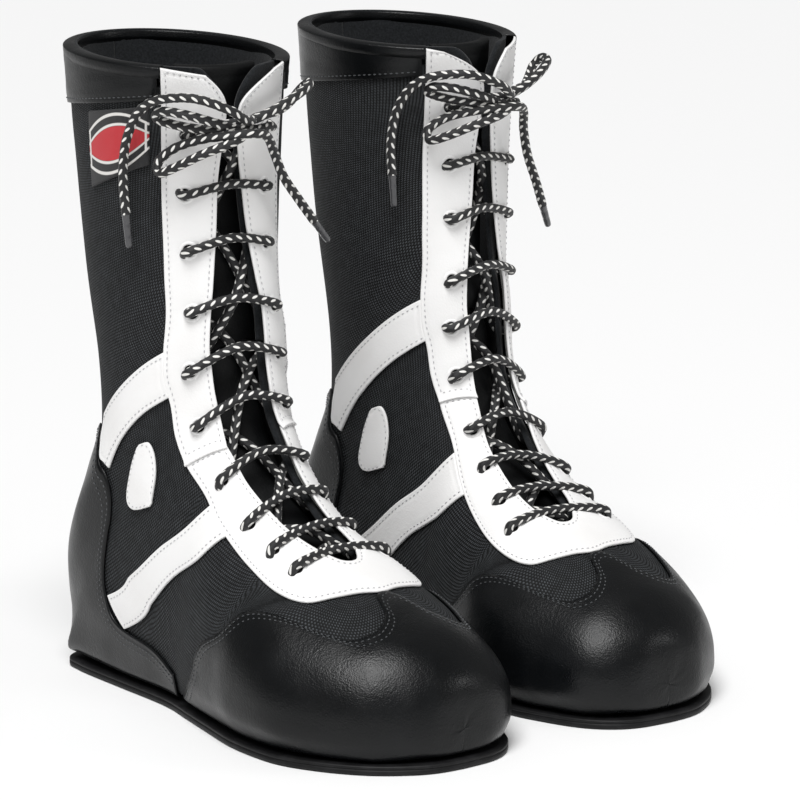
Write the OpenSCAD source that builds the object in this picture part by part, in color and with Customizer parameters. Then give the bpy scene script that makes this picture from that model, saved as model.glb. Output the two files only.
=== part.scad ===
// A pair of high lace-up boxing boots, laced and tied, standing side by side.
// Millimetres, +Z up, toes towards -Y. The origin is on the floor, midway between the boots.
// Each boot is drawn once as the right boot (outer side towards -X); the left boot is its mirror image.
// Every sewn panel follows one skin: a run of closed rings from the toe tip (0) to the collar (20).
// A place on the skin is [station, angle]: angle 0 is the front, 90 the outer side, 180 the back or bottom.

/* [Pair] */
// Distance between the two boots' centre lines
pair_spacing = 136; // [132:1:180]
// How far the tongue can tip back into the shaft
tongue_tip = 12; // [0:1:12]

/* [Sole] */
// Thickness of the rubber outsole
sole_t = 4.6; // [3:0.1:4.6]
// Thickness of the insole board
board_t = 1.6; // [1:0.2:1.8]
// Thickness of the removable footbed
footbed_t = 3.5; // [2:0.5:4]

/* [Layers] */
// Thickness of the leather overlays
leather_t = 1.2; // [0.8:0.1:1.3]
// Thickness of the woven mesh and of the stiffeners behind the leather
mesh_t = 1.2; // [0.8:0.1:1.3]
// Thickness of the felt lining
lining_t = 1.8; // [1:0.1:2]
// Thickness of the padded tongue
tongue_t = 4; // [2:0.5:5]

/* [Lacing] */
// Diameter of the round lace
lace_d = 4.4; // [3:0.1:4.6]
// Height of the lace knot above the facings
knot_h = 7; // [5:0.5:9]

/* [Hidden] */
SIDES = ["right", "left"];
PIECES = ["outsole", "insole_board", "footbed", "toe_cap", "toe_puff", "heel_counter", "heel_stiffener",
  "outer_quarter", "inner_quarter", "outer_facing", "inner_facing", "vamp_facing",
  "lace_stays", "outer_ankle_strap", "inner_ankle_strap",
  "outer_instep_strap", "inner_instep_strap", "outer_ankle_patch", "inner_ankle_patch",
  "collar_band", "outer_foot_lining", "inner_foot_lining", "outer_shaft_lining", "inner_shaft_lining", "tongue_base", "tongue_flap", "cuff_label",
  "lace", "lace_ends", "aglets"];

leather = "#16181a";
white_leather = "#f2f1ef";
mesh_cloth = "#26292c";
felt = "#2f3336";
rubber = "#101112";
label_red = "#b3202a";
lace_black = "#1b1b1d";
clear_tip = "#d9d9d2";

// Middle of the boot from heel to toe, and where the forefoot starts to curve inward
boot_mid = 131.5;
curve_start = 120;
curve_length = 150;
curve_in = 8;

// Layers, measured outward from the outermost face
air = 0.6;
lining_air = 1.2;
over_out = 0;
over_in = over_out - leather_t;
mesh_out = over_in - air;
mesh_in = mesh_out - mesh_t;
lining_out = mesh_in - lining_air;
lining_in = lining_out - lining_t;
lace_under = lining_in - lace_d / 2 - 0.3;
tongue_out = lining_in - lace_d - 2.6;
tongue_in = tongue_out - tongue_t;

// Rings of the skin. Each has the forward and height of its back or bottom point, of its front or
// top point, its half widths on the outer and inner side, how square its bottom and top are, and
// where between the two points it is widest.
RINGS = [
  [265, 17, 265, 19, 1, 1, 2.2, 2.0, 0.50],
  [264, 8, 263, 36, 17, 19, 2.5, 2.0, 0.42],
  [259, 6, 256, 47, 29, 32, 3.0, 2.0, 0.38],
  [248, 5, 243, 57, 43, 43, 3.5, 2.0, 0.35],
  [231, 5, 224, 65, 54, 51, 4.0, 2.0, 0.32],
  [210, 5, 201, 74, 62, 58, 4.0, 2.0, 0.30],
  [184, 5, 177, 86, 62, 57, 4.0, 2.0, 0.28],
  [158, 5, 157, 97, 56, 50, 4.0, 2.0, 0.26],
  [133, 5, 140, 112, 50, 45, 4.0, 2.1, 0.26],
  [100, 5, 131, 127, 44, 41, 3.6, 2.2, 0.30],
  [59, 5, 124, 141, 43, 42, 3.4, 2.2, 0.36],
  [20, 5.8, 121, 154, 43, 43, 3.0, 2.2, 0.44],
  [2, 8.5, 119, 166, 43, 43, 2.6, 2.2, 0.50],
  [-3, 40, 118, 176, 44, 44, 2.4, 2.2, 0.50],
  [8, 70, 117, 188, 42, 42, 2.2, 2.2, 0.50],
  [19, 100, 115, 202, 40, 40, 2.1, 2.1, 0.50],
  [21, 140, 113, 222, 43, 43, 2.0, 2.0, 0.50],
  [15, 190, 112, 248, 46.5, 46.5, 2.0, 2.0, 0.50],
  [8, 240, 114, 270, 48, 48, 2.0, 2.0, 0.50],
  [4, 275, 116, 286, 49, 49, 2.0, 2.0, 0.50],
  [2, 305, 117, 297, 50, 50, 2.0, 2.0, 0.50]];
FRONT = 2;
WIDE = 4;
SQUARE = 6;
WIDEST = 8;

// The lacing's centre line drifts round to the outer side on its way up: [station, angle]
LACE_LINE = [[0, -2], [6, -2], [8, 4], [10, 7], [14, 8], [20, 8]];

// Lace holes from the toe end up, on the outer and the inner facing: [station, angle from the centre line]
OUTER_HOLES = [[5.8, 25], [6.5, 26], [7.4, 26], [8.8, 28], [10.6, 29], [12.6, 29], [14.6, 29], [16, 28],
  [16.9, 27], [18, 26]];
INNER_HOLES = [[6, -27], [6.8, -26], [7.7, -26], [8.7, -27], [10.4, -28], [12.2, -28], [14.1, -27], [15.8, -26],
  [16.8, -25], [18, -26]];

// Edges of the panels as [station, angle] points
outer_facing_edge = [[20, 47], [18.6, 47], [17, 48], [15.5, 53], [14.4, 55], [12.5, 50], [11, 49], [10.2, 48]];
outer_facing_gap = [[19.7, 24], [18.6, 12], [16.6, 17], [14.8, 24], [13, 25], [11.5, 25], [10.2, 24], [9.5, 25]];
inner_facing_edge = [[20, -32], [18.6, -32], [17, -33], [15.5, -38], [14.4, -40], [12.5, -36], [11, -35],
  [10.2, -34]];
inner_facing_gap = [[19.8, -22], [18.6, 4], [16.6, 0], [14.8, -7], [13, -9], [11.5, -9], [10.2, -10], [9.5, -12]];
vamp_edge = [[10.15, 48], [8.5, 44], [7.5, 41], [6.6, 39], [5.7, 37], [5.15, 31], [4.9, 20], [4.75, 8],
  [4.65, -2], [4.75, -12], [4.9, -24], [5.15, -35], [5.7, -41], [6.6, -43], [7.5, -42], [8.5, -38],
  [10.15, -34]];
vamp_gap = [[9.45, 25], [8.5, 21], [7.7, 17], [7, 14], [6.4, 11], [6, 8], [5.75, 5], [5.6, 2], [5.55, -2],
  [5.6, -6], [5.75, -9], [6, -12], [6.4, -14], [7, -15], [7.7, -15], [8.5, -14], [9.45, -12]];
cap_edge = [[8.5, 140], [8.1, 105], [7.6, 84], [6.7, 69], [6.1, 54], [5.3, 44], [4.4, 40], [3.9, 36], [3.7, 23],
  [4, 10], [4.6, 2], [4.6, -6], [4, -14], [3.7, -27], [3.9, -40], [4.4, -44], [5.3, -48], [6.1, -58],
  [6.7, -73], [7.4, -88], [7.9, -108], [8.3, -140]];
counter_top = [[8.7, 112], [9.3, 104], [10.2, 106], [10.7, 99], [11.4, 91], [12.8, 89], [14.8, 112], [15.1, 145],
  [15.2, 180]];
counter_low = [[8.7, 156], [9.4, 159], [10, 161], [10.5, 161.5], [10.8, 162], [11, 165], [11.15, 169], [11.2, 174],
  [11.22, 180]];
stiffener_top = [[10.4, 128], [11, 122], [12, 116], [13, 121], [13.9, 131], [14.2, 150], [14.3, 180]];
stiffener_low = [[10.4, 146], [10.8, 152], [11.1, 157], [11.3, 163], [11.42, 169], [11.5, 175], [11.52, 180]];
board_edge = [[2.1, 170], [2.5, 166], [3.2, 163], [4, 162], [6, 162], [8, 163], [9.6, 163], [10.3, 164], [10.8, 169],
  [11, 176]];
footbed_edge = [[2.5, 174], [2.9, 171], [3.5, 169.5], [4.5, 168.5], [6, 168], [8, 168], [9, 168.5], [9.8, 170],
  [10.2, 172], [10.4, 176]];
outer_ankle_strap_top = [[14.1, 56], [14.5, 72], [14.8, 92], [14.85, 106]];
outer_ankle_strap_low = [[12.4, 51.5], [12.8, 64], [12.9, 77], [12.7, 86]];
inner_ankle_strap_top = [[14.1, -41.5], [14.5, -64], [14.8, -90], [14.85, -106]];
inner_ankle_strap_low = [[12.4, -37.5], [12.8, -56], [12.9, -74], [12.7, -86]];
outer_instep_strap_top = [[8.7, 46.5], [9.2, 61], [9.7, 74], [10.1, 86], [10.6, 99]];
outer_instep_strap_low = [[7.7, 43.5], [8.3, 60], [9.1, 77], [9.5, 89], [10, 105]];
inner_instep_strap_top = [[8.7, -40], [9.2, -59], [9.7, -73], [10.1, -86], [10.6, -99]];
inner_instep_strap_low = [[7.7, -44], [8.3, -60], [9.1, -77], [9.5, -89], [10, -105]];
ankle_patch_front = [[12.2, 68.4], [11.9, 63.5], [11.3, 61], [10.8, 62.5], [10.45, 68.4]];
ankle_patch_back = [[12.2, 69.6], [11.95, 74.5], [11.4, 78.5], [10.9, 77], [10.45, 69.6]];
label_front = [[18.8, 53], [17.6, 54]];
label_back = [[18.8, 92], [17.6, 94]];

// Routes of the two lace ends: [station, angle from the centre line, height above the facings]
first_end_route = [[18, 26, 0.2], [18.15, 20, 3.5], [18.25, 8, 5.5], [18.3, -3, 7], [18.55, -12, 10], [18.95, -22, 13],
  [19.25, -31, 14], [19.3, -37, 11], [19.05, -38, 7], [18.7, -31, 5.5], [18.5, -21, 6], [18.35, -9, 5],
  [18.4, 0, 12], [18.8, 9, 15], [19.15, 22, 13], [19.1, 36, 9], [18.85, 45, 6], [18.45, 51, 4.6],
  [18, 55, 4.4], [17.5, 57, 4.2], [17, 57, 4]];
second_end_route = [[18, -26, 0.2], [18.05, -18, 4], [18.05, -7, 6.5], [18.15, 4, 8.5], [18.45, 16, 11], [18.7, 28, 10],
  [18.75, 37, 7.5], [18.55, 39, 4.5], [18.35, 31, 4.2], [18.2, 20, 6], [18.1, 9, 9.5], [18.05, 2, 12.5], [17.9, 7, 14],
  [17.7, 19, 12.5], [17.5, 31, 9.5], [17.45, 38, 6], [17.65, 38.5, 4], [17.85, 30, 4.6], [17.98, 18, 8.5],
  [18.05, 8, 13], [18.1, 0, 16], [17.95, -9, 13], [17.5, -17, 9.5], [17, -24, 9.5], [16.6, -34, 12], [16.35, -44, 15]];

// Outline of the sole, flush with the leather above it: [forward, half width outside, half width inside]
SOLE = [[-0.5, 0, 0], [0.2, 8, 8], [3, 20, 20], [7, 28.6, 28.6], [12, 33.2, 33.2], [20, 34.7, 34.7], [32, 36, 35.8], [60, 37.2, 36.3],
  [100, 39, 36.5], [125, 44.2, 40.2], [150, 49.8, 45.8], [175, 55, 53.4], [200, 56, 58], [215, 53.5, 57.4],
  [230, 46.8, 53.4], [240, 40.5, 50], [248, 34, 46.2], [254, 27.3, 41.8], [259, 20, 36.4], [263, 12.5, 29.6],
  [265.3, 4, 21], [266.2, -7, 7]];

// ---- curves and the skin ----
function clamp(x, low, high) = max(low, min(high, x));
function smooth(points, t) =
  let (last = len(points) - 1, i = clamp(floor(t), 0, last - 1), f = t - i,
    a = points[max(i - 1, 0)], b = points[i], c = points[i + 1], d = points[min(i + 2, last)])
  b + 0.5 * f * ((c - a) + f * ((2 * a - 5 * b + 4 * c - d) + f * (3 * (b - c) + d - a)));
function along(points, share) = smooth(points, share * (len(points) - 1));
// How far the lower edge is squared out over the sole, none at the toe's tip or up the heel's back
function squared(station, low) = let (full = clamp((12.2 - station) / 0.6, 0, 1) * clamp((station - 0.5) / 2.5, 0, 1), near = 1 - clamp(low / 0.45, 0, 1))
  1 - 0.65 * full * near * near * (3 - 2 * near);
function power(x, p) = sign(x) * pow(abs(x), p);
function unit(v) = v / norm(v);
function inward(forward) = curve_in * pow(max(0, (forward - curve_start) / curve_length), 1.6);

function place(station, angle) =
  let (ring = smooth(RINGS, station), c = cos(angle), s = sin(angle), n = c < 0 ? ring[SQUARE] : ring[SQUARE + 1],
    u = power(c, 2 / n), x = power(power(s, 2 / n), c < 0 ? squared(station, 1 + u) : 1),
    t = c < 0 ? ring[WIDEST] * (1 + u) : ring[WIDEST] + (1 - ring[WIDEST]) * u,
    forward = ring[0] + (ring[FRONT] - ring[0]) * t,
    side = (s < 0 ? ring[WIDE + 1] : ring[WIDE]) * x - inward(forward))
  [-side, boot_mid - forward, ring[1] + (ring[FRONT + 1] - ring[1]) * t];
function outward(station, angle) =
  let (step = 0.05, s = clamp(station, step, 20 - step))
  unit(cross(place(s + step, angle) - place(s - step, angle), place(s, angle + 1) - place(s, angle - 1)));
function skin(station, angle, height) = place(station, angle) + height * outward(station, angle);
function lace_centre(station) = lookup(station, LACE_LINE);

// ---- solids ----
// A closed sheet between two edges of the skin, from height low to height high
// ease packs the columns towards edge_a; hold keeps edge_a's angle over that share of the columns
module panel(edge_a, edge_b, low, high, rows, columns, ease = 1, hold = 0) {
  grid = [for (i = [0:rows]) let (a = along(edge_a, i / rows), b = along(edge_b, i / rows))
      [for (j = [0:columns]) let (share = pow(j / columns, ease),
          turn = hold == 0 ? share : pow(max(0, (share - hold) / (1 - hold)), 1.5))
        [a[0] + (b[0] - a[0]) * share, a[1] + (b[1] - a[1]) * turn]]];
  sheet(grid, low, high);
}

// A closed sheet over any grid of [station, angle] points
module sheet(grid, low, high) {
  rows = len(grid) - 1;
  columns = len(grid[0]) - 1;
  wide = columns + 1;
  count = (rows + 1) * wide;
  points = [for (height = [high, low]) for (row = grid) for (p = row) skin(p[0], p[1], height)];
  middle = grid[floor(rows / 2)];
  next = grid[floor(rows / 2) + 1];
  corner = middle[floor(columns / 2)];
  start = skin(corner[0], corner[1], 0);
  down = next[floor(columns / 2)];
  beside = middle[floor(columns / 2) + 1];
  turned = cross(skin(down[0], down[1], 0) - start, skin(beside[0], beside[1], 0) - start)
    * outward(corner[0], corner[1]) > 0;
  function at(i, j, layer) = (turned ? 1 - layer : layer) * count + i * wide + j;
  faces = [
    for (i = [0:rows - 1]) for (j = [0:columns - 1]) each [
        [at(i, j, 0), at(i + 1, j, 0), at(i + 1, j + 1, 0)], [at(i, j, 0), at(i + 1, j + 1, 0), at(i, j + 1, 0)],
        [at(i, j, 1), at(i + 1, j + 1, 1), at(i + 1, j, 1)], [at(i, j, 1), at(i, j + 1, 1), at(i + 1, j + 1, 1)]],
    for (i = [0:rows - 1]) each [
        [at(i, 0, 0), at(i, 0, 1), at(i + 1, 0, 1)], [at(i, 0, 0), at(i + 1, 0, 1), at(i + 1, 0, 0)],
        [at(i, columns, 0), at(i + 1, columns, 1), at(i, columns, 1)],
        [at(i, columns, 0), at(i + 1, columns, 0), at(i + 1, columns, 1)]],
    for (j = [0:columns - 1]) each [
        [at(0, j, 0), at(0, j + 1, 1), at(0, j, 1)], [at(0, j, 0), at(0, j + 1, 0), at(0, j + 1, 1)],
        [at(rows, j, 0), at(rows, j, 1), at(rows, j + 1, 1)],
        [at(rows, j, 0), at(rows, j + 1, 1), at(rows, j + 1, 0)]]];
  polyhedron(points, faces, convexity = 10);
}

// A round cord along a list of points
module cord(route, diameter, steps) {
  sides = 6;
  last = (len(route) - 1) * steps;
  path = [for (i = [0:last]) smooth(route, i / steps)];
  ahead = [for (i = [0:last]) unit(path[min(i + 1, last)] - path[max(i - 1, 0)])];
  across = frames(ahead, 0, unit(cross(ahead[0], [0.3, 0.2, 1])));
  points = [for (i = [0:last]) for (k = [0:sides - 1])
      let (turn = 360 * k / sides, up = cross(ahead[i], across[i]))
      path[i] + diameter / 2 * (cos(turn) * across[i] + sin(turn) * up)];
  faces = [
    for (i = [0:last - 1]) for (k = [0:sides - 1])
      let (a = i * sides + k, b = i * sides + (k + 1) % sides)
      each [[a, a + sides, b + sides], [a, b + sides, b]],
    [for (k = [0:sides - 1]) k],
    [for (k = [sides - 1:-1:0]) last * sides + k]];
  polyhedron(points, faces, convexity = 10);
}
function frames(ahead, i, previous) =
  i >= len(ahead) ? [] :
  let (v = unit(previous - ahead[i] * (previous * ahead[i]))) concat([v], frames(ahead, i + 1, v));

// A flat shape with the sole's outline
module sole_shape(bottom, thickness) {
  n = 40;
  function rim(k, sign, column) = let (row = along(SOLE, k / n)) [-sign * row[column], boot_mid - row[0]];
  outline = concat([for (k = [0:n]) rim(k, 1, 1)], [for (k = [n - 1:-1:1]) rim(k, -1, 2)]);
  translate([0, 0, bottom]) linear_extrude(thickness) polygon(outline);
}

// Puts one boot in its place: the left boot is the right one's mirror image
module stand(side) {
  if (side == "right") translate([-pair_spacing / 2, 0, 0]) children();
  else translate([pair_spacing / 2, 0, 0]) mirror([1, 0, 0]) children();
}

function round_the_back(edge) = [for (p = edge) [p[0], 360 - p[1]]];
function other_side(edge) = [for (p = edge) [p[0], -p[1]]];

// ---- bottom ----
module outsole() color(rubber) sole_shape(0, sole_t);
module insole_board() color("tan")
  panel(board_edge, round_the_back(board_edge), mesh_out - 0.5 - board_t, mesh_out - 0.5, 12, 4);
module footbed() color(felt)
  panel(footbed_edge, round_the_back(footbed_edge), lining_in - 2 - footbed_t, lining_in - 2, 12, 4);

// ---- leather of the foot ----
module toe_cap() color(leather)
  panel([for (p = cap_edge) [0.02, p[1] * 179.5 / 140]], cap_edge, over_in + 0.15, over_out, 28, 7, 1.5, 0.25);
module toe_puff() color("gray")
  panel([for (q = [120:-40:-120]) [0.5, q]], [for (q = [120:-40:-120]) [3, q]], mesh_in - 0.5, mesh_out - 0.5, 14, 4);
function both_sides(edge) = concat(edge, [for (i = [len(edge) - 2:-1:0]) [edge[i][0], 360 - edge[i][1]]]);
module heel_counter() color(leather)
  panel(both_sides(counter_top), both_sides(counter_low), over_in + 0.2, over_out, 23, 9);
module heel_stiffener() color("gray")
  panel(both_sides(stiffener_top), both_sides(stiffener_low), mesh_in - 0.4, mesh_out - 0.8, 20, 6);

// ---- mesh, facings and straps; sign 1 is the outer side, -1 the inner side ----
quarter_front = [[19.3, 45], [17, 46], [15.5, 51], [14.4, 53], [12.5, 48], [10.2, 46], [8.5, 42], [6.6, 37],
  [5.4, 30], [5.1, 14], [4.9, 0.5]];
quarter_back = [[19.3, 179.5], [17, 179.5], [15.9, 179.4], [15.55, 174], [15.2, 155], [14.5, 123], [12, 112], [10.2, 120], [9.6, 138],
  [9, 151], [8.2, 151], [7.6, 106], [5.6, 54], [3.5, 38], [3.4, 0.5]];
inner_quarter_front = [[19.3, -30], [17, -31], [15.5, -36], [14.4, -38], [12.5, -34], [10.2, -32], [8.5, -36],
  [6.6, -41], [5.4, -34], [5.1, -18], [4.9, -0.5]];
module quarter(front, back) color(mesh_cloth) panel(front, back, mesh_in, mesh_out, 24, 9);

module facing(edge, gap) color(white_leather) panel(edge, gap, over_in, over_out, 14, 2);
module vamp_facing() color(white_leather) panel(vamp_edge, vamp_gap, over_in, over_out, 28, 2);
module lace_stay(holes) color("dimgray") {
  along_holes = [for (p = holes) [p[0], p[1] + lace_centre(p[0])]];
  half = 6;
  panel([for (p = along_holes) p + [0, half]], [for (p = along_holes) p - [0, half]], mesh_in, mesh_out - 0.25, 18, 1);
}
module strap(top, low) color(white_leather) panel(top, low, over_in, over_out, 6, 3);
module patch(front, back) color(white_leather) panel(front, back, over_in, over_out, 6, 2);
module cuff_label() color(label_red) panel(label_front, label_back, over_in, over_out - 0.2, 2, 4);
module collar_band() color(leather)
  panel([[19.95, 49], [18.95, 49]], [[19.95, 326], [18.95, 326]], over_in, over_out, 1, 24);

// ---- lining and tongue ----
lining_gap = [[0.4, 1.5], [2, 1.5], [4, 1.5], [5.1, 3], [6, 9], [8, 20], [10, 25], [12.5, 26]];
lining_gap_inner = [[0.4, 358.5], [2, 358.5], [4, 358.5], [5.1, 353], [6, 347], [8, 345], [10, 350], [12.5, 351]];
shaft_gap = [[12.55, 26], [14.8, 25], [16.6, 18], [18.6, 13], [19.8, 24], [20, 30]];
shaft_gap_inner = [[12.55, 351], [14.8, 352], [16.6, 359], [18.6, 363], [19.8, 350], [20, 340]];
function seam(edge, angle) = [for (p = edge) [p[0], angle]];
module lining(side, front, front_inner, rows, columns, drop) color(felt) {
  low = lining_in - drop;
  high = lining_out - drop;
  if (side == "outer") panel(front, seam(front, 179.7), low, high, rows, columns);
  if (side == "inner") panel(seam(front_inner, 180.3), front_inner, low, high, rows, columns);
}

tongue_half = 36;
tongue_split = 12.5;
function tongue_row(station, rise) = [for (j = [-4:4])
    [station + rise * pow(j / 4, 2), lace_centre(station) + tongue_half * j / 4]];
module tongue_base() color(leather)
  sheet([for (i = [0:8]) tongue_row(5.3 + (tongue_split - 0.15 - 5.3) * i / 8, 0)], tongue_in, tongue_out);
module tongue_flap() color(leather)
  sheet([for (i = [0:7]) tongue_row(tongue_split + (19.9 - tongue_split) * i / 7, 0.5 * (1 - i / 7))],
    tongue_in, tongue_out);

// ---- lace ----
under_high = lace_under + 3.6;
under_low = lace_under - 0.3;
bar_middle = -0.5;
bar_end = lace_d / 2 + 0.2;
function hole(row, sign, height) =
  let (p = sign > 0 ? OUTER_HOLES[row] : INNER_HOLES[row]) skin(p[0], p[1] + lace_centre(p[0]), height);
function middle(row, height) =
  let (s = (OUTER_HOLES[row][0] + INNER_HOLES[row][0]) / 2) skin(s, lace_centre(s), height);
// One bar across the gap, entered from underneath on the side given by sign
function bar(row, sign) = [hole(row, sign, lace_under), hole(row, sign, bar_end), middle(row, bar_middle),
  hole(row, -sign, bar_end), hole(row, -sign, lace_under)];
// Under the facings from one row to the next row that this end uses, crossing the other end
function crossing(low_row, high_row, height) =
  let (s = (OUTER_HOLES[low_row][0] + INNER_HOLES[low_row][0] + OUTER_HOLES[high_row][0] + INNER_HOLES[high_row][0]) / 4)
  [skin(s, lace_centre(s), height)];
// The end that starts in the outer hole uses the odd rows; the other one uses the even rows
odd_end = concat(crossing(0, 1, under_low), [for (row = [1:2:7]) each concat(bar(row, -1), crossing(row, row + 2, under_high))],
  [hole(9, -1, lace_under), hole(9, -1, bar_end)]);
even_end = concat(crossing(0, 2, under_high), [for (row = [2:2:8]) each concat(bar(row, 1),
      row < 8 ? crossing(row, row + 2, under_low) : crossing(8, 9, under_low))],
  [hole(9, 1, lace_under), hole(9, 1, bar_end)]);
lace_route = concat([for (i = [len(odd_end) - 1:-1:0]) odd_end[i]], bar(0, 1), even_end);
module lace() color(lace_black) cord(lace_route, lace_d, 2);

// The bow keeps its hand on the left boot, so its angles are turned over there before mirroring
function end_route(route, side) =
  [for (p = route) skin(p[0], lace_centre(p[0]) + (side == "right" ? 1 : -1) * p[1], p[2] + lace_d / 2)];
module lace_ends(side) color(lace_black) {
  cord(end_route(first_end_route, side), lace_d, 1);
  cord(end_route(second_end_route, side), lace_d, 1);
}
aglet_length = 16;
module aglet(route, side) {
  points = end_route(route, side);
  tip = points[len(points) - 1];
  direction = unit(tip - points[len(points) - 2]);
  cord([tip + 0.01 * direction, tip + aglet_length / 2 * direction, tip + aglet_length * direction], lace_d * 0.86, 1);
}
module aglets(side) color(clear_tip) {
  aglet(first_end_route, side);
  aglet(second_end_route, side);
}

// ---- one boot, piece by piece ----
module piece(name, side) stand(side) {
  if (name == "outsole") outsole();
  if (name == "insole_board") insole_board();
  if (name == "footbed") footbed();
  if (name == "toe_cap") toe_cap();
  if (name == "toe_puff") toe_puff();
  if (name == "heel_counter") heel_counter();
  if (name == "heel_stiffener") heel_stiffener();
  if (name == "outer_quarter") quarter(quarter_front, quarter_back);
  if (name == "inner_quarter") quarter(inner_quarter_front, other_side(quarter_back));
  if (name == "outer_facing") facing(outer_facing_edge, outer_facing_gap);
  if (name == "inner_facing") facing(inner_facing_edge, inner_facing_gap);
  if (name == "vamp_facing") vamp_facing();
  if (name == "lace_stays") { lace_stay(OUTER_HOLES); lace_stay(INNER_HOLES); }
  if (name == "outer_ankle_strap") strap(outer_ankle_strap_top, outer_ankle_strap_low);
  if (name == "inner_ankle_strap") strap(inner_ankle_strap_low, inner_ankle_strap_top);
  if (name == "outer_instep_strap") strap(outer_instep_strap_top, outer_instep_strap_low);
  if (name == "inner_instep_strap") strap(inner_instep_strap_low, inner_instep_strap_top);
  if (name == "outer_ankle_patch") patch(ankle_patch_front, ankle_patch_back);
  if (name == "inner_ankle_patch") patch(other_side(ankle_patch_front), other_side(ankle_patch_back));
  if (name == "collar_band") collar_band();
  if (name == "outer_foot_lining") lining("outer", lining_gap, lining_gap_inner, 12, 13, 0.45);
  if (name == "inner_foot_lining") lining("inner", lining_gap, lining_gap_inner, 12, 13, 0.45);
  if (name == "outer_shaft_lining") lining("outer", shaft_gap, shaft_gap_inner, 8, 11, 0.6);
  if (name == "inner_shaft_lining") lining("inner", shaft_gap, shaft_gap_inner, 8, 11, 0.6);
  if (name == "tongue_base") tongue_base();
  if (name == "tongue_flap") tongue_flap();
  if (name == "cuff_label") cuff_label();
  if (name == "lace") lace();
  if (name == "lace_ends") lace_ends(side);
  if (name == "aglets") aglets(side);
}

for (side = SIDES) for (name = PIECES)
  piece(name, side);
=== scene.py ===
"""A pair of black and white lace-up boxing boots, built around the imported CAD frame.

Every sewn panel follows the boot's skin, a run of closed rings from the toe tip (station 0) to the
collar (station 20). A place on it is [station, angle]: angle 0 is the front, 90 the outer side and 180
the back or bottom. Routes and panel edges repeat those of the CAD source, but for the straps' front
ends, which reach a little further under the facings here. Skin sizes are millimetres in the right boot's
own frame; to_world() turns them into metres in the shared frame.
"""

import math

import bpy
import numpy as np
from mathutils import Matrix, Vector


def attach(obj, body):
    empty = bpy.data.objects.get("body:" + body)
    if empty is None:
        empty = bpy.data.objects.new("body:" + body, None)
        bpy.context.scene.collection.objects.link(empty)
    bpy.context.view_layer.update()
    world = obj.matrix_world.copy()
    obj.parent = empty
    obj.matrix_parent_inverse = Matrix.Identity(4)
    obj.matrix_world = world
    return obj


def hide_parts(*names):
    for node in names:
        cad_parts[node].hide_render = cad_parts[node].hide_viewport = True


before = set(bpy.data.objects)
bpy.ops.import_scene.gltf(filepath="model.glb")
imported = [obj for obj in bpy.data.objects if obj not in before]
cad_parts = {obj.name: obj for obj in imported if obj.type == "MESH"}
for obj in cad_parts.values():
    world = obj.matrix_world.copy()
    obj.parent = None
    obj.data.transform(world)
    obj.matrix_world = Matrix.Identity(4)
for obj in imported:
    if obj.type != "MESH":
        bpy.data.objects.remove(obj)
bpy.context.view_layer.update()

SIDES = ("right", "left")
MM = 0.001

# ---------------------------------------------------------------- the skin, as in the CAD source
# Only the first ring differs: it is drawn in to a point here, which closes the toe's tip.
PAIR_SPACING = 136
BOOT_MID = 131.5
CURVE_START, CURVE_LENGTH, CURVE_IN = 120, 150, 8
LEATHER, MESH, LINING, AIR, LINING_AIR = 1.2, 1.2, 1.8, 0.6, 1.2
OVER_IN = -LEATHER
MESH_OUT = OVER_IN - AIR
MESH_IN = MESH_OUT - MESH
LINING_OUT = MESH_IN - LINING_AIR
LINING_IN = LINING_OUT - LINING
LACE_D = 4.4
LACE_UNDER = LINING_IN - LACE_D / 2 - 0.3
TONGUE = 4
TONGUE_OUT = LINING_IN - LACE_D - 2.6
TONGUE_IN = TONGUE_OUT - TONGUE
FOOTBED_OUT = LINING_IN - 2
FOOTBED_IN = FOOTBED_OUT - 3.5

RINGS = np.array([
    [265, 17.95, 265, 18.05, 0.05, 0.05, 2.2, 2.0, 0.50],
    [264, 8, 263, 36, 17, 19, 2.5, 2.0, 0.42],
    [259, 6, 256, 47, 29, 32, 3.0, 2.0, 0.38],
    [248, 5, 243, 57, 43, 43, 3.5, 2.0, 0.35],
    [231, 5, 224, 65, 54, 51, 4.0, 2.0, 0.32],
    [210, 5, 201, 74, 62, 58, 4.0, 2.0, 0.30],
    [184, 5, 177, 86, 62, 57, 4.0, 2.0, 0.28],
    [158, 5, 157, 97, 56, 50, 4.0, 2.0, 0.26],
    [133, 5, 140, 112, 50, 45, 4.0, 2.1, 0.26],
    [100, 5, 131, 127, 44, 41, 3.6, 2.2, 0.30],
    [59, 5, 124, 141, 43, 42, 3.4, 2.2, 0.36],
    [20, 5.8, 121, 154, 43, 43, 3.0, 2.2, 0.44],
    [2, 8.5, 119, 166, 43, 43, 2.6, 2.2, 0.50],
    [-3, 40, 118, 176, 44, 44, 2.4, 2.2, 0.50],
    [8, 70, 117, 188, 42, 42, 2.2, 2.2, 0.50],
    [19, 100, 115, 202, 40, 40, 2.1, 2.1, 0.50],
    [21, 140, 113, 222, 43, 43, 2.0, 2.0, 0.50],
    [15, 190, 112, 248, 46.5, 46.5, 2.0, 2.0, 0.50],
    [8, 240, 114, 270, 48, 48, 2.0, 2.0, 0.50],
    [4, 275, 116, 286, 49, 49, 2.0, 2.0, 0.50],
    [2, 305, 117, 297, 50, 50, 2.0, 2.0, 0.50]])
LACE_LINE = np.array([[0, -2], [6, -2], [8, 4], [10, 7], [14, 8], [20, 8]], float)


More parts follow.
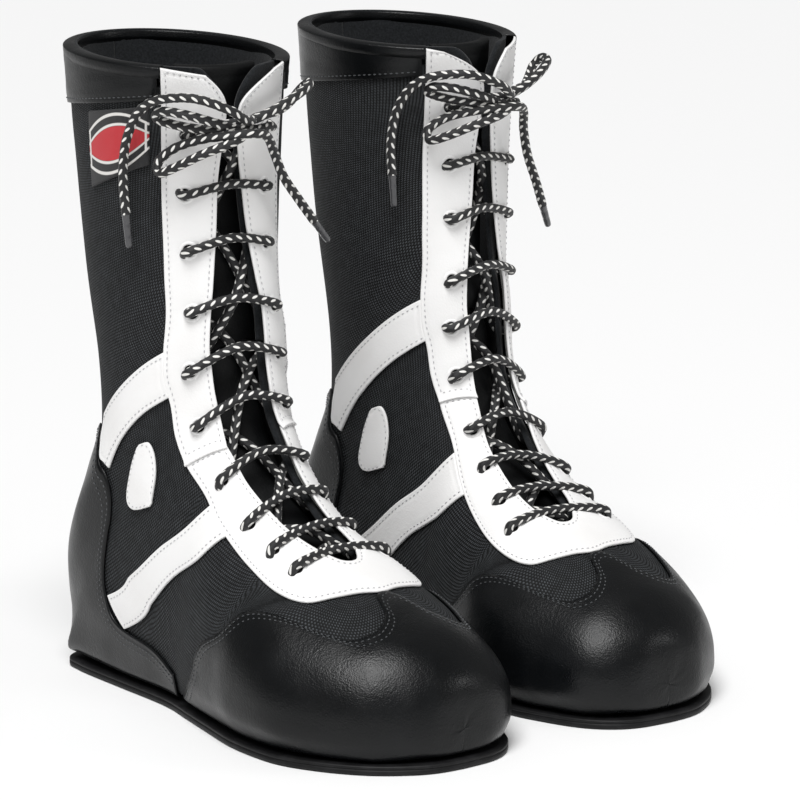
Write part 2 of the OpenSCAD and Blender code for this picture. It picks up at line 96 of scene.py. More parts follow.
def smooth(points, t):
    """A Catmull-Rom curve through points; t runs from 0 to the last point's number."""
    points = np.asarray(points, float)
    last = len(points) - 1
    t = np.asarray(t, float)
    i = np.clip(np.floor(t), 0, last - 1).astype(int)
    f = (t - i)[..., None]
    a, b = points[np.maximum(i - 1, 0)], points[i]
    c, d = points[i + 1], points[np.minimum(i + 2, last)]
    return b + 0.5 * f * ((c - a) + f * ((2 * a - 5 * b + 4 * c - d) + f * (3 * (b - c) + d - a)))


def along(points, share):
    return smooth(points, np.asarray(share, float) * (len(points) - 1))


def squared(station, low):
    """How far the lower edge is squared out over the sole, none at the toe's tip or up the heel's back."""
    full = np.clip((12.2 - station) / 0.6, 0, 1) * np.clip((station - 0.5) / 2.5, 0, 1)
    near = 1 - np.clip(low / 0.45, 0, 1)
    return 1 - 0.65 * full * near * near * (3 - 2 * near)


def power(x, p):
    return np.sign(x) * np.abs(x) ** p


def place(station, angle):
    """Points of the skin, for arrays of stations and angles in degrees."""
    ring = smooth(RINGS, station)
    q = np.radians(angle)
    c, s = np.cos(q), np.sin(q)
    n = np.where(c < 0, ring[..., 6], ring[..., 7])
    u = power(c, 2 / n)
    x = power(power(s, 2 / n), np.where(c < 0, squared(station, 1 + u), 1))
    widest = ring[..., 8]
    t = np.where(c < 0, widest * (1 + u), widest + (1 - widest) * u)
    forward = ring[..., 0] + (ring[..., 2] - ring[..., 0]) * t
    height = ring[..., 1] + (ring[..., 3] - ring[..., 1]) * t
    curve = CURVE_IN * np.maximum(0, (forward - CURVE_START) / CURVE_LENGTH) ** 1.6
    side = np.where(s < 0, ring[..., 5], ring[..., 4]) * x - curve
    return np.stack([-side, BOOT_MID - forward, height], -1)


def unit(v):
    return v / np.maximum(np.linalg.norm(v, axis=-1, keepdims=True), 1e-9)


def outward(station, angle):
    s = np.clip(station, 0.05, 19.95)
    up = place(s + 0.05, angle) - place(s - 0.05, angle)
    round_ = place(s, angle + 1) - place(s, angle - 1)
    return unit(np.cross(up, round_))


def skin(station, angle, height=0.0):
    station, angle = np.broadcast_arrays(np.asarray(station, float), np.asarray(angle, float))
    return place(station, angle) + np.asarray(height, float)[..., None] * outward(station, angle)


def lace_centre(station):
    return np.interp(station, LACE_LINE[:, 0], LACE_LINE[:, 1])


def to_world(points, side):
    """The right boot's millimetres to metres in the shared frame; the left boot is mirrored."""
    p = np.array(points, float)
    sign = -1 if side == "right" else 1
    if side == "left":
        p[..., 0] = -p[..., 0]
    p[..., 0] += sign * PAIR_SPACING / 2
    return p * MM


# ---------------------------------------------------------------- camera, first
CAMERA_AZIMUTH, CAMERA_RISE, CAMERA_DISTANCE = math.radians(-37.98), math.radians(11.4), 1.9
SENSOR, LENS = 36, 186.36435
AIM = Vector((-0.068, 0.0015, 0.150))
AIM_SHIFT_RIGHT, AIM_SHIFT_UP = 0.0607, -0.0043


def make_camera():
    back = Vector((math.sin(CAMERA_AZIMUTH) * math.cos(CAMERA_RISE),
                   -math.cos(CAMERA_AZIMUTH) * math.cos(CAMERA_RISE), math.sin(CAMERA_RISE)))
    right = Vector((0, 0, 1)).cross(back).normalized()
    up = back.cross(right)
    target = AIM + right * AIM_SHIFT_RIGHT + up * AIM_SHIFT_UP
    data = bpy.data.cameras.new("camera")
    data.sensor_width = SENSOR
    data.lens = LENS
    camera = bpy.data.objects.new("camera", data)
    camera.location = target + back * CAMERA_DISTANCE
    camera.rotation_euler = back.to_track_quat("Z", "Y").to_euler()
    bpy.context.scene.collection.objects.link(camera)
    bpy.context.scene.camera = camera


make_camera()


# ---------------------------------------------------------------- materials
def new_material(name, colour, roughness, **sockets):
    """A Principled material; returns it with its node tree and shader for more nodes."""
    m = bpy.data.materials.new(name)
    m.use_nodes = True
    shader = m.node_tree.nodes["Principled BSDF"]
    shader.inputs["Base Color"].default_value = (*colour, 1)
    shader.inputs["Roughness"].default_value = roughness
    for socket, value in sockets.items():
        shader.inputs[socket.replace("_", " ")].default_value = value
    return m, m.node_tree, shader


def node(tree, kind, **settings):
    """Adds a node; settings are its properties, or its inputs where a value is given by i0, i1..."""
    made = tree.nodes.new(kind)
    for key, value in settings.items():
        if key[0] == "i" and key[1:].isdigit():
            if isinstance(value, bpy.types.NodeSocket):
                tree.links.new(value, made.inputs[int(key[1:])])
            else:
                made.inputs[int(key[1:])].default_value = value
        else:
            setattr(made, key, value)
    return made


def maths(tree, operation, a, b=0.0):
    return node(tree, "ShaderNodeMath", operation=operation, i0=a, i1=b).outputs[0]


def noise(tree, where, scale, detail=2.0, roughness=0.5):
    made = node(tree, "ShaderNodeTexNoise", i0=where)
    made.inputs["Scale"].default_value = scale
    made.inputs["Detail"].default_value = detail
    made.inputs["Roughness"].default_value = roughness
    return made.outputs["Fac"]


def remap(tree, value, low, high, out_low, out_high):
    return node(tree, "ShaderNodeMapRange", i0=value, i1=low, i2=high, i3=out_low, i4=out_high).outputs[0]


def two_colours(tree, share, first, second):
    made = node(tree, "ShaderNodeMix", data_type="RGBA")
    tree.links.new(share, made.inputs["Factor"])
    made.inputs["A"].default_value = (*first, 1)
    made.inputs["B"].default_value = (*second, 1)
    return made.outputs["Result"]


def bump(tree, shader, height, strength, distance):
    made = node(tree, "ShaderNodeBump")
    made.inputs["Strength"].default_value = strength
    made.inputs["Distance"].default_value = distance
    tree.links.new(height, made.inputs["Height"])
    tree.links.new(made.outputs["Normal"], shader.inputs["Normal"])


def object_place(tree):
    return node(tree, "ShaderNodeTexCoord").outputs["Object"]


def uv_axes(tree):
    split = node(tree, "ShaderNodeSeparateXYZ", i0=node(tree, "ShaderNodeTexCoord").outputs["UV"])
    return split.outputs[0], split.outputs[1]


def leather_material(name, colour, worn_colour, roughness, grain, depth, shine=0.5):
    """Leather: pebbled grain from cells, fine creases, and slightly uneven gloss and colour."""
    m, tree, shader = new_material(name, colour, roughness, Specular_IOR_Level=shine)
    where = object_place(tree)
    cells = node(tree, "ShaderNodeTexVoronoi", feature="SMOOTH_F1", i0=where)
    cells.inputs["Scale"].default_value = grain
    creases = noise(tree, where, grain * 0.35, 4.0, 0.6)
    height = maths(tree, "ADD", maths(tree, "MULTIPLY", cells.outputs["Distance"], 0.7), creases)
    bump(tree, shader, height, 0.5, depth)
    patches = noise(tree, where, 26.0, 3.0)
    share = remap(tree, patches, 0.45, 0.75, 0.0, 1.0)
    tree.links.new(two_colours(tree, share, colour, worn_colour), shader.inputs["Base Color"])
    gloss = remap(tree, noise(tree, where, 60.0, 3.0), 0.3, 0.7, roughness - 0.06, roughness + 0.08)
    tree.links.new(gloss, shader.inputs["Roughness"])
    return m


MESH_COLUMN, MESH_ROW = 1.7, 1.25
LACE_STEP = 5.1


def rounded_spot(tree, x, y, half_x, half_y):
    """How far a place is out from the middle of an oval spot: 1 on its edge."""
    across = maths(tree, "POWER", maths(tree, "ABSOLUTE", maths(tree, "DIVIDE", x, half_x)), 2.0)
    up = maths(tree, "POWER", maths(tree, "ABSOLUTE", maths(tree, "DIVIDE", y, half_y)), 2.0)
    return maths(tree, "ADD", across, up)


def window(tree, value, low, high, edge=0.01):
    """1 between two values and 0 outside them."""
    rise = remap(tree, value, low, low + edge, 0.0, 1.0)
    return maths(tree, "MULTIPLY", rise, remap(tree, value, high, high + edge, 1.0, 0.0))


def mesh_material():
    """Sport mesh: columns of small raised knots, every second column half a row along. The knots are painted
    lighter as a painted highlight, and the gaps between them painted near black as painted shade.
    """
    m, tree, shader = new_material("mesh_cloth", (0.012, 0.013, 0.015), 0.7, Specular_IOR_Level=0.3)
    across, up = uv_axes(tree)
    column = maths(tree, "DIVIDE", across, MESH_COLUMN)
    odd = maths(tree, "MULTIPLY", maths(tree, "MODULO", maths(tree, "FLOOR", column), 2.0), 0.5)
    row = maths(tree, "ADD", maths(tree, "DIVIDE", up, MESH_ROW), odd)
    x = maths(tree, "SUBTRACT", maths(tree, "FRACT", column), 0.5)
    y = maths(tree, "SUBTRACT", maths(tree, "FRACT", row), 0.5)
    reach = rounded_spot(tree, x, y, 0.42, 0.36)
    knit = remap(tree, reach, 1.25, 0.35, 0.0, 1.0)
    uneven = remap(tree, noise(tree, object_place(tree), 220.0, 2.0), 0.3, 0.7, 0.55, 1.0)
    # painted highlight on the knot tops and painted shade in the gaps between them, following the knot shape
    # and varying a little from knot to knot
    knot_highlight = maths(tree, "MULTIPLY", knit, uneven)
    tree.links.new(two_colours(tree, knot_highlight, (0.0008, 0.001, 0.0012), (0.06, 0.066, 0.072)),
                   shader.inputs["Base Color"])
    bump(tree, shader, knit, 1.0, 0.0007)
    return m


def lace_material():
    """Round braided lace: black with four columns of small white flecks, slanted in turn left and right."""
    m, tree, shader = new_material("lace_braid", (0.01, 0.01, 0.011), 0.6, Sheen_Weight=0.1)
    around, length = uv_axes(tree)
    column = maths(tree, "MULTIPLY", around, 4.0)
    odd = maths(tree, "MODULO", maths(tree, "FLOOR", column), 2.0)
    x = maths(tree, "SUBTRACT", maths(tree, "FRACT", column), 0.5)
    step = maths(tree, "ADD", maths(tree, "DIVIDE", length, LACE_STEP), maths(tree, "MULTIPLY", odd, 0.5))
    y = maths(tree, "SUBTRACT", maths(tree, "FRACT", step), 0.5)
    leaning = maths(tree, "SUBTRACT", x, maths(tree, "MULTIPLY", y, remap(tree, odd, 0.0, 1.0, -0.75, 0.75)))
    reach = rounded_spot(tree, leaning, y, 0.205, 0.3)
    fleck = remap(tree, reach, 1.1, 0.8, 0.0, 1.0)
    tree.links.new(two_colours(tree, fleck, (0.006, 0.006, 0.007), (0.78, 0.77, 0.74)),
                   shader.inputs["Base Color"])
    strand = node(tree, "ShaderNodeTexWave", bands_direction="DIAGONAL")
    strand.inputs["Scale"].default_value = 900.0
    tree.links.new(object_place(tree), strand.inputs["Vector"])
    bump(tree, shader, strand.outputs["Fac"], 0.4, 0.0002)
    return m


def felt_material(name, colour, light):
    m, tree, shader = new_material(name, colour, 0.92, Sheen_Weight=0.1, Specular_IOR_Level=0.2)
    where = object_place(tree)
    fibres = noise(tree, where, 900.0, 4.0, 0.7)
    share = remap(tree, fibres, 0.35, 0.7, 0.0, 1.0)
    tree.links.new(two_colours(tree, share, colour, light), shader.inputs["Base Color"])
    bump(tree, shader, fibres, 0.7, 0.0004)
    return m


def rubber_material():
    m, tree, shader = new_material("sole_rubber", (0.012, 0.012, 0.013), 0.55, Specular_IOR_Level=0.25)
    where = object_place(tree)
    dust = noise(tree, where, 130.0, 5.0, 0.6)
    share = remap(tree, dust, 0.45, 0.8, 0.0, 1.0)
    tree.links.new(two_colours(tree, share, (0.004, 0.004, 0.0045), (0.014, 0.014, 0.015)),
                   shader.inputs["Base Color"])
    bump(tree, shader, dust, 0.4, 0.0003)
    return m


def thread_material(name, colour):
    m, tree, shader = new_material(name, colour, 0.6, Sheen_Weight=0.3)
    twist = node(tree, "ShaderNodeTexWave", bands_direction="DIAGONAL")
    twist.inputs["Scale"].default_value = 1800.0
    tree.links.new(object_place(tree), twist.inputs["Vector"])
    bump(tree, shader, twist.outputs["Fac"], 0.4, 0.0001)
    return m


def label_material():
    """Embroidered patch: black ground, a red oval across the middle, white outlines, satin rows of thread."""
    m, tree, shader = new_material("label_patch", (0.5, 0.03, 0.04), 0.6, Sheen_Weight=0.1)
    across, up = uv_axes(tree)
    side = maths(tree, "ABSOLUTE", maths(tree, "SUBTRACT", across, 0.5))
    bow = maths(tree, "MULTIPLY", maths(tree, "POWER", side, 2.0), 0.9)
    rise = maths(tree, "ADD", maths(tree, "ABSOLUTE", maths(tree, "SUBTRACT", up, 0.5)), bow)
    band = remap(tree, rise, 0.245, 0.255, 1.0, 0.0)
    outline = window(tree, rise, 0.25, 0.29)
    rim = window(tree, rise, 0.40, 0.445)
    ends = window(tree, side, 0.445, 0.475, 0.005)
    ends = maths(tree, "MULTIPLY", ends, remap(tree, rise, 0.45, 0.455, 1.0, 0.0))
    white = maths(tree, "MAXIMUM", maths(tree, "MAXIMUM", outline, rim), ends)
    first = node(tree, "ShaderNodeMix", data_type="RGBA", i0=band)
    first.inputs["A"].default_value = (0.01, 0.01, 0.011, 1)
    first.inputs["B"].default_value = (0.55, 0.02, 0.03, 1)
    second = node(tree, "ShaderNodeMix", data_type="RGBA", i0=white)
    tree.links.new(first.outputs["Result"], second.inputs["A"])
    second.inputs["B"].default_value = (0.8, 0.78, 0.75, 1)
    tree.links.new(second.outputs["Result"], shader.inputs["Base Color"])
    rows = maths(tree, "SINE", maths(tree, "MULTIPLY", across, 330.0))
    bump(tree, shader, rows, 0.5, 0.0002)
    return m


MATERIALS = {
    "black_leather": leather_material("black_leather", (0.0018, 0.0022, 0.0026), (0.004, 0.0046, 0.0054),
                                      0.33, 1500, 0.00025, shine=0.28),
    "white_leather": leather_material("white_leather", (0.86, 0.855, 0.85), (0.80, 0.79, 0.78), 0.46, 1300,
                                      0.00018),
    "tongue_leather": leather_material("tongue_leather", (0.002, 0.0023, 0.0026), (0.005, 0.0055, 0.006), 0.6,
                                       1100, 0.0003, shine=0.2),
    "mesh_cloth": mesh_material(),
    "lace_braid": lace_material(),
    "felt_lining": felt_material("felt_lining", (0.006, 0.007, 0.008), (0.02, 0.022, 0.025)),
    "footbed_cloth": felt_material("footbed_cloth", (0.02, 0.022, 0.025), (0.05, 0.055, 0.06)),
    "fibre_board": felt_material("fibre_board", (0.012, 0.012, 0.012), (0.03, 0.03, 0.03)),
    "stiffener": felt_material("stiffener", (0.22, 0.22, 0.21), (0.34, 0.34, 0.33)),
    "rubber_sole": rubber_material(),
    "grey_thread": thread_material("grey_thread", (0.5, 0.5, 0.51)),
    "hole_shadow": felt_material("hole_shadow", (0.003, 0.003, 0.003), (0.008, 0.008, 0.008)),
    "dark_thread": thread_material("dark_thread", (0.05, 0.055, 0.06)),
    "label_patch": label_material(),
    "aglet_plastic": new_material("aglet_plastic", (0.05, 0.05, 0.054), 0.25, Coat_Weight=0.4)[0],
}


# ---------------------------------------------------------------- mesh helpers
def make_object(name, points, faces, material, side, uv=None, body=None, slot=None, replaces=None):
    """A mesh piece from millimetre points in the right boot's frame; uv is one pair a point."""
    mesh = bpy.data.meshes.new(name)
    if side == "left":
        faces = [tuple(reversed(f)) for f in faces]
    mesh.from_pydata([tuple(p) for p in to_world(points, side)], [], faces)
    if uv is not None:
        layer = mesh.uv_layers.new(name="weave")
        corner = np.zeros(len(mesh.loops), int)
        mesh.loops.foreach_get("vertex_index", corner)
        layer.data.foreach_set("uv", np.asarray(uv, np.float32)[corner].ravel())
    mesh.materials.append(MATERIALS[material])
    mesh.polygons.foreach_set("use_smooth", [True] * len(mesh.polygons))
    made = bpy.data.objects.new(name, mesh)
    bpy.context.scene.collection.objects.link(made)
    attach(made, body or f"{side}_boot")
    if replaces:
        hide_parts(replaces)
    return made


def grid_faces(rows, columns, first=0, flip=False, wrap=False):
    faces = []
    for i in range(rows - 1):
        here, ahead = first + i * columns, first + (i + 1) * columns
        for j in range(columns if wrap else columns - 1):
            k = (j + 1) % columns
            face = (here + j, ahead + j, ahead + k, here + k)
            faces.append(tuple(reversed(face)) if flip else face)
    return faces


def rim_loop(rows, columns):
    """The numbers of the points round the rim of a grid, in order."""
    rim = [(0, j) for j in range(columns)] + [(i, columns - 1) for i in range(1, rows)]
    rim += [(rows - 1, j) for j in range(columns - 2, -1, -1)] + [(i, 0) for i in range(rows - 2, 0, -1)]
    return [i * columns + j for i, j in rim]


def edge_steps(count, share):
    """Shares from 0 to 1: count even ones, and three close together at each end for a rounded edge."""
    inner = np.linspace(share * 2.2, 1 - share * 2.2, count)
    return np.concatenate([[0, share * 0.45, share], inner, [1 - share, 1 - share * 0.45, 1]])


def arc_lengths(points, axis):
    step = np.linalg.norm(np.diff(points, axis=axis), axis=-1)
    start = np.zeros_like(np.take(step, [0], axis=axis))
    return np.cumsum(np.concatenate([start, step], axis=axis), axis=axis)


def sewn_sheet(name, stations, angles, low, high, material, side, groove=None, round_edge=0.7, puff=0.0,
               open_ends=(), extra=None, lift=0.0, uv_unit=False, **where):
    """A closed sheet over a grid of skin places. Its outer face rolls over at the edges, sinks along the
    stitch line groove millimetres in from them, and swells by puff between them."""
    rows, columns = stations.shape
    base = skin(stations, angles, high)
    down, over = arc_lengths(base, 0), arc_lengths(base, 1)
    away = np.full(stations.shape, 99.0)
    if "first_row" not in open_ends:
        away = np.minimum(away, down)
    if "last_row" not in open_ends:
        away = np.minimum(away, down[-1:] - down)
    if "first_column" not in open_ends:
        away = np.minimum(away, over)
    if "last_column" not in open_ends:
        away = np.minimum(away, over[:, -1:] - over)
    top = np.full(stations.shape, float(high))
    bend = np.clip(1 - away / round_edge, 0, 1)
    top -= min(round_edge, high - low) * 0.85 * (1 - np.sqrt(1 - bend ** 2))
    if groove:
        top -= 0.22 * np.exp(-((away - groove) / 0.8) ** 2)
    if puff:
        top += puff * np.clip(away / 9, 0, 1) ** 0.6
    if extra is not None:
        top += extra
    outer, inner = skin(stations, angles, top + lift), skin(stations, angles, low + lift)
    count = rows * columns
    faces = grid_faces(rows, columns) + grid_faces(rows, columns, count, flip=True)
    loop = rim_loop(rows, columns)
    for a, b in zip(loop, loop[1:] + loop[:1]):
        faces.append((a, b, b + count, a + count))
    if uv_unit:
        uv = np.stack([over / over[:, -1:], down / down[-1:]], -1)
    else:
        middle = columns // 2
        uv = np.stack([over - over[:, middle:middle + 1], down.mean(1, keepdims=True) + 0 * down], -1)
    uv = uv.reshape(-1, 2)
    points = np.concatenate([outer.reshape(-1, 3), inner.reshape(-1, 3)])
    return make_object(name, points, faces, material, side, np.concatenate([uv, uv]), **where)


# How far in the close steps at a panel's edges reach, as a share of its length and of its width
EDGE_ALONG, EDGE_ACROSS = 0.9 / 200, 0.9 / 40


def loft_grid(edge_a, edge_b, rows, columns, ease=1.0, hold=0.0):
    """Skin places between two edges: stations and angles, rows along the edges and columns across. ease packs
    the columns towards edge_b; hold keeps edge_b's angle over that share of the way."""
    u = edge_steps(rows, EDGE_ALONG)[:, None]
    v = 1 - (1 - edge_steps(columns, EDGE_ACROSS)[None, :]) ** ease
    a, b = along(edge_a, u[:, 0])[:, None], along(edge_b, u[:, 0])[:, None]
    turn = 1 - np.maximum(0, (1 - v - hold) / (1 - hold)) ** 1.5 if hold else v
    return a[..., 0] + (b[..., 0] - a[..., 0]) * v, a[..., 1] + (b[..., 1] - a[..., 1]) * turn


def mirrored(edge):
    return [[s, -q] for s, q in edge]


STITCH_LENGTH, STITCH_GAP, THREAD_RADIUS, THREAD_RAISED = 1.5, 1.3, 0.28, 0.08
GROOVE, PATCH_GROOVE = 2.4, 1.8


def stitches(name, lines, side, material="grey_thread", height=0.0):
    """One mesh of short thread stitches along lines of skin places, each an array of [station, angle]."""
    points, faces = [], []
    around, rings = 6, 5
    swell = [0.25, 0.85, 1.0, 0.85, 0.25]
    for line in lines:
        line = np.asarray(line, float)
        path = skin(line[:, 0], line[:, 1], height)
        lift = outward(line[:, 0], line[:, 1])
        run = arc_lengths(path, 0)
        start = STITCH_GAP
        while start + STITCH_LENGTH < run[-1]:
            at = start + STITCH_LENGTH * np.linspace(0, 1, rings)
            centre = np.stack([np.interp(at, run, path[:, k]) for k in range(3)], -1)
            normal = unit(np.stack([np.interp(at, run, lift[:, k]) for k in range(3)], -1))
            ahead = unit(centre[-1] - centre[0])
            across = np.cross(ahead, normal)
            dip = (THREAD_RAISED - 0.35 * np.abs(np.linspace(-1, 1, rings)) ** 3)[:, None]
            first = len(points)
            for k in range(rings):
                for j in range(around):
                    turn = 2 * math.pi * j / around
                    points.append(centre[k] + normal[k] * dip[k] + swell[k] * THREAD_RADIUS *
                                  (math.cos(turn) * across[k] + math.sin(turn) * normal[k]))
            faces += grid_faces(rings, around, first, wrap=True, flip=True)
            faces.append(tuple(first + j for j in range(around)))
            faces.append(tuple(first + (rings - 1) * around + j for j in reversed(range(around))))
            start += STITCH_LENGTH + STITCH_GAP
    return make_object(name, points, faces, material, side)


def inset_line(edge, toward, inset, count=160, trim=0.0):
    """A line that runs inset millimetres inside an edge, on the side of another edge."""
    share = np.linspace(trim, 1 - trim, count)
    a, b = along(edge, share), along(toward, share)
    width = np.linalg.norm(skin(b[:, 0], b[:, 1]) - skin(a[:, 0], a[:, 1]), axis=1)
    return a + (b - a) * np.clip(inset / np.maximum(width, 1e-3), 0, 0.5)[:, None]


# ---------------------------------------------------------------- cords
HOLES = {
    1: [[5.8, 25], [6.5, 26], [7.4, 26], [8.8, 28], [10.6, 29], [12.6, 29], [14.6, 29], [16, 28],
        [16.9, 27], [18, 26]],
    -1: [[6, -27], [6.8, -26], [7.7, -26], [8.7, -27], [10.4, -28], [12.2, -28], [14.1, -27], [15.8, -26],
         [16.8, -25], [18, -26]]}
BAR_MIDDLE, BAR_END = -0.5, LACE_D / 2 + 0.2
UNDER_HIGH, UNDER_LOW = LACE_UNDER + 3.6, LACE_UNDER - 0.3
FIRST_END = [
    [18, 26, 0.2], [18.15, 20, 3.5], [18.25, 8, 5.5], [18.3, -3, 7], [18.55, -12, 10], [18.95, -22, 13],
    [19.25, -31, 14], [19.3, -37, 11], [19.05, -38, 7], [18.7, -31, 5.5], [18.5, -21, 6], [18.35, -9, 5],
    [18.4, 0, 12], [18.8, 9, 15], [19.15, 22, 13], [19.1, 36, 9], [18.85, 45, 6], [18.45, 51, 4.6],
    [18, 55, 4.4], [17.5, 57, 4.2], [17, 57, 4]]
SECOND_END = [
    [18, -26, 0.2], [18.05, -18, 4], [18.05, -7, 6.5], [18.15, 4, 8.5], [18.45, 16, 11], [18.7, 28, 10],
    [18.75, 37, 7.5], [18.55, 39, 4.5], [18.35, 31, 4.2], [18.2, 20, 6], [18.1, 9, 9.5], [18.05, 2, 12.5],
    [17.9, 7, 14], [17.7, 19, 12.5], [17.5, 31, 9.5], [17.45, 38, 6], [17.65, 38.5, 4], [17.85, 30, 4.6],
    [17.98, 18, 8.5], [18.05, 8, 13], [18.1, 0, 16], [17.95, -9, 13], [17.5, -17, 9.5], [17, -24, 9.5],
    [16.6, -34, 12], [16.35, -44, 15]]
AGLET_LENGTH = 16


def hole(row, sign, height):
    station, angle = HOLES[sign][row]
    return skin(station, angle + lace_centre(station), height)


def between(rows, height):
    station = np.mean([HOLES[sign][row][0] for row in rows for sign in (1, -1)])
    return skin(station, lace_centre(station), height)


def bar(row, sign):
    return [hole(row, sign, LACE_UNDER), hole(row, sign, BAR_END), between([row], BAR_MIDDLE),
            hole(row, -sign, BAR_END), hole(row, -sign, LACE_UNDER)]


def lace_route():
    odd, even = [between([0, 1], UNDER_LOW)], [between([0, 2], UNDER_HIGH)]
    for row in (1, 3, 5, 7):
        odd += bar(row, -1) + [between([row, row + 2], UNDER_HIGH)]
    for row in (2, 4, 6, 8):
        even += bar(row, 1) + [between([row, min(row + 2, 9)], UNDER_LOW)]
    odd += [hole(9, -1, LACE_UNDER), hole(9, -1, BAR_END)]
    even += [hole(9, 1, LACE_UNDER), hole(9, 1, BAR_END)]
    return np.array(odd[::-1] + bar(0, 1) + even)


def end_route(route, side):
    """The bow is tied by the same hand on both boots, so its angles turn over before mirroring."""
    sign = 1 if side == "right" else -1
    route = np.array(route, float)
    return skin(route[:, 0], lace_centre(route[:, 0]) + sign * route[:, 1], route[:, 2] + LACE_D / 2)


def evenly(points, spacing, steps=24):
    """A smooth curve through points, resampled at even spacing."""
    fine = smooth(points, np.linspace(0, len(points) - 1, (len(points) - 1) * steps + 1))
    run = arc_lengths(fine, 0)
    at = np.linspace(0, run[-1], max(2, int(round(run[-1] / spacing)) + 1))
    return np.stack([np.interp(at, run, fine[:, k]) for k in range(3)], -1), at


CORD_SPACING, CORD_AROUND, CORD_RIDGE = 0.55, 20, 0.05
AGLET_AROUND, AGLET_SHRINK = 20, 0.86


def braided_cord(name, route, side, **where):
    """A tube along a route, its wall raised in a braid's strands. Returns it, its path and its length."""
    path, length = evenly(route, CORD_SPACING)
    ahead = unit(np.gradient(path, axis=0))
    across = np.zeros_like(ahead)
    previous = unit(np.cross(ahead[0], [0.3, 0.2, 1.0]))
    for i, t in enumerate(ahead):
        previous = unit(previous - t * (previous @ t))
        across[i] = previous
    up = np.cross(ahead, across)
    turn = np.linspace(0, 2 * math.pi, CORD_AROUND + 1)
    phase = 2 * math.pi * length[:, None] / LACE_STEP
    weave = np.maximum(np.cos(4 * turn[None] + phase), np.cos(4 * turn[None] - phase))
    radius = LACE_D / 2 * (1 - CORD_RIDGE + CORD_RIDGE * weave)
    wall = path[:, None] + radius[..., None] * (np.cos(turn)[None, :, None] * across[:, None] +
                                               np.sin(turn)[None, :, None] * up[:, None])
    rows, columns = wall.shape[:2]
    points = wall.reshape(-1, 3)
    faces = grid_faces(rows, columns, flip=True)
    uv = np.stack(np.broadcast_arrays(turn[None] / (2 * math.pi), length[:, None]), -1).reshape(-1, 2)
    points = np.concatenate([points, path[[0, -1]]])
    uv = np.concatenate([uv, [[0.5, length[0]], [0.5, length[-1]]]])
    last = (rows - 1) * columns
    faces += [(len(points) - 2, j, j + 1) for j in range(columns - 1)]
    faces += [(len(points) - 1, last + j + 1, last + j) for j in range(columns - 1)]
    made = make_object(name, points, faces, "lace_braid", side, uv, **where)
    return made, path, float(length[-1])


def make_laces(side):
    braided_cord(f"{side}_lace_run", lace_route(), side, slot="lace_braid", replaces=f"{side}_lace")
    for which, route in (("first", FIRST_END), ("second", SECOND_END)):
        points = end_route(route, side)
        made, path, length = braided_cord(f"{side}_{which}_lace_tail", points, side, slot="lace_braid",
                                          replaces=f"{side}_lace_ends" if which == "first" else None)
        world = to_world(path, side)
        tip = make_aglet(f"{side}_{which}_aglet", path, side)
    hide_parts(f"{side}_aglets")


def make_aglet(name, path, side):
    """The lace's moulded plastic tip: a crimped sleeve with a rounded end."""
    ahead = unit(path[-1] - path[-3])
    start = path[-1] - ahead * 1.5
    shares = [0, 0.02, 0.1, 0.3, 0.34, 0.38, 0.6, 0.64, 0.68, 0.9, 0.96, 0.99, 1.0]
    radii = [2.05, 2.3, 2.3, 2.1, 1.95, 2.1, 2.0, 1.85, 2.0, 1.9, 1.75, 1.2, 0.3]
    route = np.array([start + ahead * (AGLET_LENGTH + 1) * s for s in shares])
    across = unit(np.cross(ahead, [0.3, 0.2, 1.0]))
    up = np.cross(ahead, across)
    turns = [2 * math.pi * j / AGLET_AROUND for j in range(AGLET_AROUND)]
    points = [centre + r * AGLET_SHRINK * (math.cos(turn) * across + math.sin(turn) * up)
              for centre, r in zip(route, radii) for turn in turns]
    faces = grid_faces(len(route), AGLET_AROUND, wrap=True, flip=True)
    faces.append(tuple(range(AGLET_AROUND)))
    faces.append(tuple((len(route) - 1) * AGLET_AROUND + j for j in reversed(range(AGLET_AROUND))))
    return make_object(name, points, faces, "aglet_plastic", side, slot="aglet_plastic")


for side in SIDES:
    make_laces(side)


# ---------------------------------------------------------------- panel edges
# As in the CAD source, but for the straps' front ends.
OUTER_FACING_EDGE = [[20, 47], [18.6, 47], [17, 48], [15.5, 53], [14.4, 55], [12.5, 50], [11, 49], [10.2, 48]]
OUTER_FACING_GAP = [[19.7, 24], [18.6, 12], [16.6, 17], [14.8, 24], [13, 25], [11.5, 25], [10.2, 24],
                    [9.5, 25]]
INNER_FACING_EDGE = [[20, -32], [18.6, -32], [17, -33], [15.5, -38], [14.4, -40], [12.5, -36], [11, -35],
                     [10.2, -34]]
INNER_FACING_GAP = [[19.8, -22], [18.6, 4], [16.6, 0], [14.8, -7], [13, -9], [11.5, -9], [10.2, -10],
                    [9.5, -12]]
VAMP_EDGE = [[10.15, 48], [8.5, 44], [7.5, 41], [6.6, 39], [5.7, 37], [5.15, 31], [4.9, 20], [4.75, 8],
             [4.65, -2], [4.75, -12], [4.9, -24], [5.15, -35], [5.7, -41], [6.6, -43], [7.5, -42], [8.5, -38],
             [10.15, -34]]
VAMP_GAP = [[9.45, 25], [8.5, 21], [7.7, 17], [7, 14], [6.4, 11], [6, 8], [5.75, 5], [5.6, 2], [5.55, -2],
            [5.6, -6], [5.75, -9], [6, -12], [6.4, -14], [7, -15], [7.7, -15], [8.5, -14], [9.45, -12]]
CAP_EDGE = [[8.5, 140], [8.1, 105], [7.6, 84], [6.7, 69], [6.1, 54], [5.3, 44], [4.4, 40], [3.9, 36],
            [3.7, 23], [4, 10], [4.6, 2], [4.6, -6], [4, -14], [3.7, -27], [3.9, -40], [4.4, -44],
            [5.3, -48], [6.1, -58], [6.7, -73], [7.4, -88], [7.9, -108], [8.3, -140]]
COUNTER_TOP = [[8.7, 112], [9.3, 104], [10.2, 106], [10.7, 99], [11.4, 91], [12.8, 89], [14.8, 112],
               [15.1, 145], [15.2, 180]]
